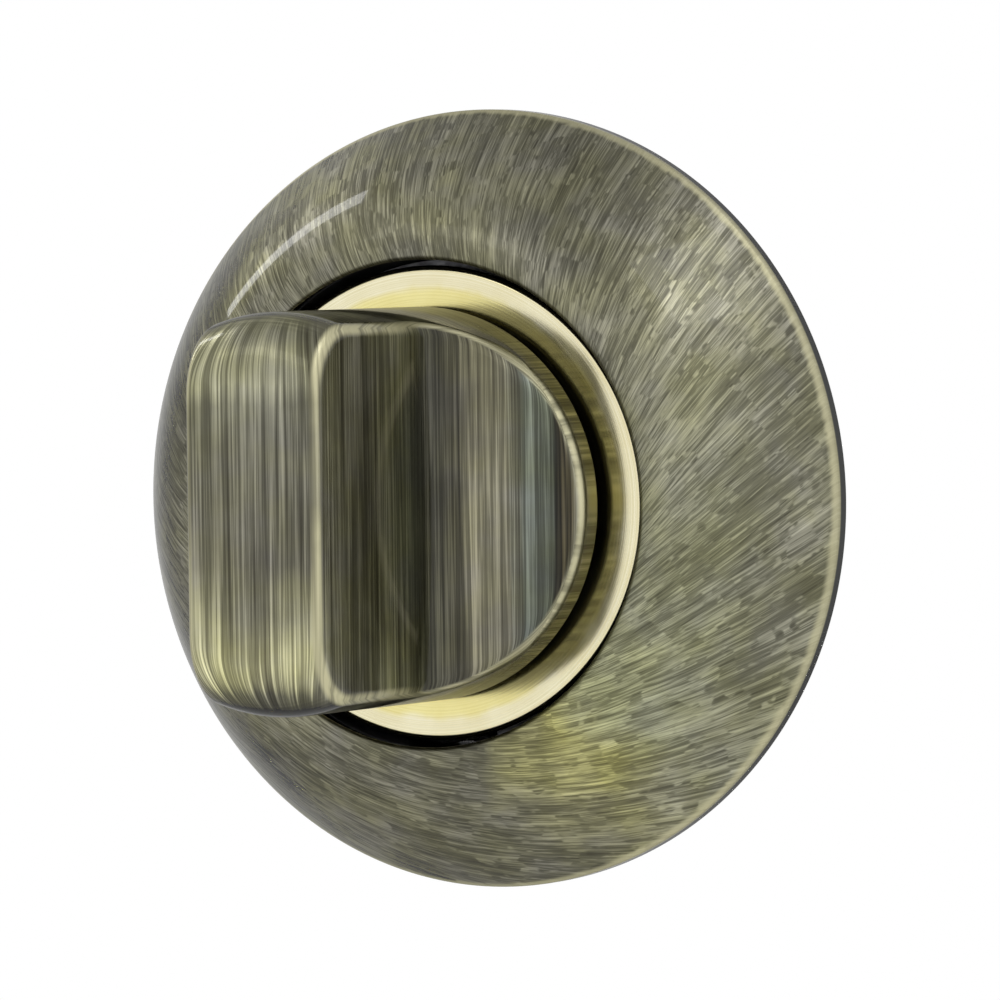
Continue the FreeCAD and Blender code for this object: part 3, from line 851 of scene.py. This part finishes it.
def brushed_knob():
    """Long fine strokes along the wing, rubbed bright on its edges, with painted highlights,
    reflections and shade.
    """
    s = Surface("bronze_brushed_knob", **LACQUER)

    facing = s.node("SeparateXYZ", {0: s.node("TexCoord").outputs["Normal"]}).outputs
    girth = s.node("Attribute", attribute_name="girth").outputs["Fac"]

    def strokes(width, length, detail):
        there = s.times(girth, 1 / width)
        slip = s.times(s.noise(s.combine(there, 0.0, 0.0), scale=0.7), 4.0)
        vector = s.combine(there, 0.0, s.math("MULTIPLY_ADD", s.z, 1 / length, slip))
        return s.noise(vector, detail=detail)

    fine = s.stretch(strokes(0.17, 10.0, 2), 0.34, 0.66)
    broad = s.stretch(strokes(0.7, 26.0, 1), 0.34, 0.66)
    cloud = s.stretch(s.noise(s.place, detail=3, scale=0.2), 0.3, 0.7)
    tone = s.weighted((fine, 0.45), (broad, 0.38), (cloud, 0.17))
    end = s.stretch(s.math("ABSOLUTE", facing[2]), 0.7, 0.97, kind="SMOOTHSTEP")
    round_strokes = s.noise(s.vector("MULTIPLY", s.place, (0.12, 4.5, 0.12)), detail=3)
    round_tone = s.weighted((s.stretch(round_strokes, 0.3, 0.7), 0.5), (cloud, 0.35))
    tone = s.stretch(end, 0, 1, tone, round_tone)
    bronze = s.blend(s.stretch(tone, 0.1, 0.55), DARK_BRONZE, MID_BRONZE)
    bronze = s.blend(s.stretch(tone, 0.5, 0.95), bronze, LIGHT_BRONZE)
    wear_and_highlight = s.node("Attribute", attribute_name="wear_and_highlight").outputs["Fac"]
    aside = s.math("ABSOLUTE", girth)
    # Painted reflections and shade across flank and scoop, by girth.
    painted_reflections = s.bands(s.math("MULTIPLY_ADD", broad, 0.5, aside), 5, 30, SCOOP_PAINTED_REFLECTIONS)
    hollow = s.times(s.stretch(s.y, -12.8, -12.6, 1, 0), s.stretch(aside, 5.2, 5.6))
    bronze = s.blend(hollow, bronze, s.tint(bronze, painted_reflections))
    # Painted highlight on the wing's front, brighter towards both ends.
    front_highlight = s.bands(s.math("MULTIPLY_ADD", broad, 0.6, s.z), -13, 13.5, FRONT_PAINTED_HIGHLIGHT)
    front = s.times(s.stretch(s.y, -30, -28, 1, 0), s.stretch(aside, 4.6, 5.2, 1, 0))
    bronze = s.blend(front, bronze, s.tint(bronze, front_highlight))
    # Painted shade: faces that point down are darkened.
    under = s.stretch(facing[2], -0.75, -0.95, kind="SMOOTHSTEP")
    bronze = s.blend(under, bronze, s.tint(bronze, (0.45, 0.45, 0.45)))
    # Painted shade: the flange's underside and the neck are made near black.
    neck = s.times(s.stretch(s.y, -10.5, -10.3), s.stretch(s.y, -6.0, -5.8, 1, 0))
    bronze = s.blend(neck, bronze, UNLIT_BRONZE)
    bronze = s.tint(bronze, s.hues())
    # Edges rubbed bright with a painted highlight, dimmer in the middle of the front.
    worn_and_highlight = s.stretch(wear_and_highlight, 0.1, 1.0, kind="SMOOTHSTEP")
    worn_and_highlight = s.times(worn_and_highlight, s.stretch(broad, 0.0, 0.7, 0.45, 1.0))
    from_front_middle = s.math("ABSOLUTE", s.math("ADD", s.z, s.math("MULTIPLY_ADD", cloud, 4.0, -4.0)))
    middle_dimming = s.stretch(from_front_middle, 1.5, 6.5, 0.6, 0, kind="SMOOTHSTEP")
    front_middle_dimming = s.times(s.stretch(s.y, -31, -29, 1, 0), middle_dimming)
    worn_and_highlight = s.times(worn_and_highlight, s.math("SUBTRACT", 1.0, front_middle_dimming))
    s.colour(s.blend(worn_and_highlight, bronze, WORN_AND_HIGHLIGHT_BRONZE))
    s.roughness(s.stretch(tone, 0.0, 1.0, 0.44, 0.28))
    s.bump(tone, 0.01)
    s.brushed_along(s.combine(0.0, 0.0, 1.0))
    return s.material


def polished_gold():
    """Pale gold plating with fine turning marks, a few soft clouds and a painted reflection round
    its bore.
    """
    s = Surface("gold_polished")
    radius = s.reach()
    marks = s.noise(s.combine(s.times(radius, 9.0), 0.0, s.times(s.y, 9.0)), detail=2)
    cloud = s.noise(s.place, detail=3, scale=0.35)
    tone = s.weighted((marks, 0.6), (cloud, 0.4))
    gold = s.blend(s.stretch(tone, 0.35, 0.65), (0.74, 0.67, 0.41), (0.86, 0.81, 0.58))
    # Painted reflection: the ring's inner part is darker and yellower.
    deep = s.math("MULTIPLY_ADD", cloud, 1.0, radius)
    deep = s.stretch(deep, 14.4, 15.1, 1, 0, kind="SMOOTHSTEP")
    s.colour(s.blend(deep, gold, s.tint(gold, (1.0, 0.97, 0.64))))
    s.roughness(s.stretch(tone, 0.3, 0.7, 0.1, 0.2))
    s.bump(marks, 0.002)
    return s.material


def grained(name, dark, light, low, high, grain, depth, metallic=1.0, stretch=(1, 1, 1)):
    """A material of even grain with clouds of tone: castings, plated and oiled steel, plastic."""
    s = Surface(name, metallic)
    fine = s.noise(s.vector("MULTIPLY", s.place, tuple(v / grain for v in stretch)), detail=4)
    cloud = s.noise(s.place, detail=3, scale=0.3)
    tone = s.stretch(s.weighted((fine, 0.6), (cloud, 0.4)), 0.32, 0.68)
    s.colour(s.blend(tone, dark, light))
    s.roughness(s.stretch(tone, 0, 1, high, low))
    s.bump(fine, depth)
    return s.material


def dress_nodes():
    """Every CAD node that stays gets the material of its slot, and the screws their threads."""
    zinc = grained("zinc_cast", (0.36, 0.37, 0.38), (0.52, 0.53, 0.54), 0.38, 0.6, 0.35, 0.03)
    spring = grained("spring_steel", (0.1, 0.1, 0.11), (0.24, 0.24, 0.25), 0.25, 0.45, 0.5, 0.01)
    drawn = grained(
        "steel_plated", (0.34, 0.34, 0.34), (0.52, 0.52, 0.51), 0.22, 0.42, 0.3, 0.01,
        stretch=(1, 0.06, 1),
    )
    screw = grained("screw_steel", (0.36, 0.36, 0.37), (0.54, 0.54, 0.54), 0.2, 0.4, 0.3, 0.004)
    yellow = grained(
        "screw_brass_coloured", (0.5, 0.36, 0.12), (0.68, 0.54, 0.25), 0.2, 0.4, 0.4, 0.004,
    )
    nylon = grained(
        "nylon", (0.7, 0.69, 0.63), (0.8, 0.79, 0.74), 0.45, 0.6, 0.25, 0.01, metallic=0.0,
    )
    dressed = {
        "base_plate": zinc,
        "snap_ring": spring,
        "spring_washer": spring,
        "circlip": spring,
        "spindle_pin": spring,
        "bearing_bush": nylon,
        "stop_washer": drawn,
        "spindle": drawn,
        "stop_pin_start": drawn,
        "stop_pin_end": drawn,
        "lock_washer_upper": screw,
        "lock_washer_lower": screw,
    }
    for name, material in dressed.items():
        for material_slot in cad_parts[name].material_slots:
            material_slot.material = material
    for side in ("upper", "lower"):
        make_screw("door_screw_" + side, screw, 2.0, 0.7, 0.43, 0.94)
    for side in ("left", "right"):
        make_screw(
            "wood_screw_" + side, yellow, 1.75, 1.6, 0.55, 0.5, plain=1.5,
        )


make_cover(brushed_rosette())
make_trim(polished_gold())
make_knob(brushed_knob())
dress_nodes()


# Stage

def direction(azimuth, elevation):
    """A unit vector. Azimuth 0 points to the front, -Y, and 90 to +X."""
    a, e = math.radians(azimuth), math.radians(elevation)
    return Vector((math.sin(a) * math.cos(e), -math.cos(a) * math.cos(e), math.sin(e)))


def camera():
    """The camera that was fitted to the photograph."""
    back = direction(CAMERA_AZIMUTH, CAMERA_ELEVATION)
    level_right = (-back).cross(Vector((0, 0, 1))).normalized()
    level_up = level_right.cross(-back)
    roll = math.radians(CAMERA_ROLL)
    right = math.cos(roll) * level_right + math.sin(roll) * level_up
    up = math.cos(roll) * level_up - math.sin(roll) * level_right
    data = bpy.data.cameras.new("photo_camera")
    data.sensor_width = SENSOR_WIDTH
    data.lens = FOCAL_PIXELS * SENSOR_WIDTH / PHOTO_PIXELS
    data.clip_start = 0.01
    view = bpy.data.objects.new("photo_camera", data)
    place = Matrix((right, up, back)).transposed().to_4x4()
    place.translation = CAMERA_TARGET + CAMERA_DISTANCE * back
    view.matrix_world = place
    bpy.context.scene.collection.objects.link(view)
    bpy.context.scene.camera = view


def softbox(name, azimuth, elevation, width, height, level, colour=(1, 1, 1)):
    """A soft lamp facing the object. Its level is the brightness that a mirror would show."""
    data = bpy.data.lights.new(name, "AREA")
    data.shape = "RECTANGLE"
    data.size = width
    data.size_y = height
    data.energy = level * math.pi * width * height
    data.color = colour
    lamp = bpy.data.objects.new(name, data)
    back = direction(azimuth, elevation)
    lamp.location = back * LAMP_DISTANCE
    lamp.rotation_euler = back.to_track_quat("Z", "Y").to_euler()
    bpy.context.scene.collection.objects.link(lamp)


def studio():
    """White walls, a dimmer ceiling and ground: the same for the camera and for what it lights."""
    world = bpy.data.worlds.new("studio")
    bpy.context.scene.world = world
    world.use_nodes = True
    nodes, links = world.node_tree.nodes, world.node_tree.links
    height = nodes.new("ShaderNodeSeparateXYZ")
    links.new(nodes.new("ShaderNodeTexCoord").outputs["Generated"], height.inputs[0])
    share = nodes.new("ShaderNodeMapRange")
    links.new(height.outputs["Z"], share.inputs[0])
    share.inputs[1].default_value = -1
    ramp = nodes.new("ShaderNodeValToRGB")
    links.new(share.outputs[0], ramp.inputs[0])
    stops = [
        (-1, 0.6), (-0.8, 0.8), (-0.45, 1.0), (-0.15, 1.0),
        (0.3, 1.0), (0.55, 1.1), (0.85, 0.8), (1, 0.6),
    ]
    while len(ramp.color_ramp.elements) < len(stops):
        ramp.color_ramp.elements.new(0.5)
    for element, (z, level) in zip(ramp.color_ramp.elements, stops):
        element.position = (z + 1) / 2
        element.color = (level, level, level, 1)
    links.new(ramp.outputs[0], nodes["Background"].inputs["Color"])


def floor():
    """A pale round floor below the object that fades into the white of the studio."""
    mesh = bpy.data.meshes.new("floor")
    rim = [
        (FLOOR_RADIUS * math.cos(a), FLOOR_RADIUS * math.sin(a), FLOOR_HEIGHT)
        for a in full_turn(FLOOR_CORNERS)
    ]
    mesh.from_pydata(rim, [], [tuple(range(FLOOR_CORNERS))])
    s = Surface("floor", metallic=0.0, Roughness=0.8)
    s.colour(s.blend(s.noise(s.place, scale=0.05), (0.86, 0.86, 0.85), (0.9, 0.9, 0.89)))
    span = s.math("SQRT", s.math("MULTIPLY_ADD", s.x, s.x, s.times(s.y, s.y)))
    edge = FLOOR_RADIUS / MM
    fade = s.stretch(span, edge * FLOOR_FADE_SHARE, edge, 1, 0, kind="SMOOTHSTEP")
    s.tree.links.new(fade, s.shader.inputs["Alpha"])
    mesh.materials.append(s.material)
    ground = bpy.data.objects.new("floor", mesh)
    bpy.context.scene.collection.objects.link(ground)


camera()
studio()
floor()
softbox("key_softbox", 76, 54, 0.32, 0.26, 2.8)
softbox("right_softbox", 80, 8, 0.3, 0.3, 0.3)
softbox("high_front_softbox", -30, 38, 0.34, 0.16, 1.2, (1.0, 0.98, 0.8))
softbox("left_strip", -97, 34, 0.09, 0.34, 8.0)
bpy.context.scene.view_settings.view_transform = "Standard"
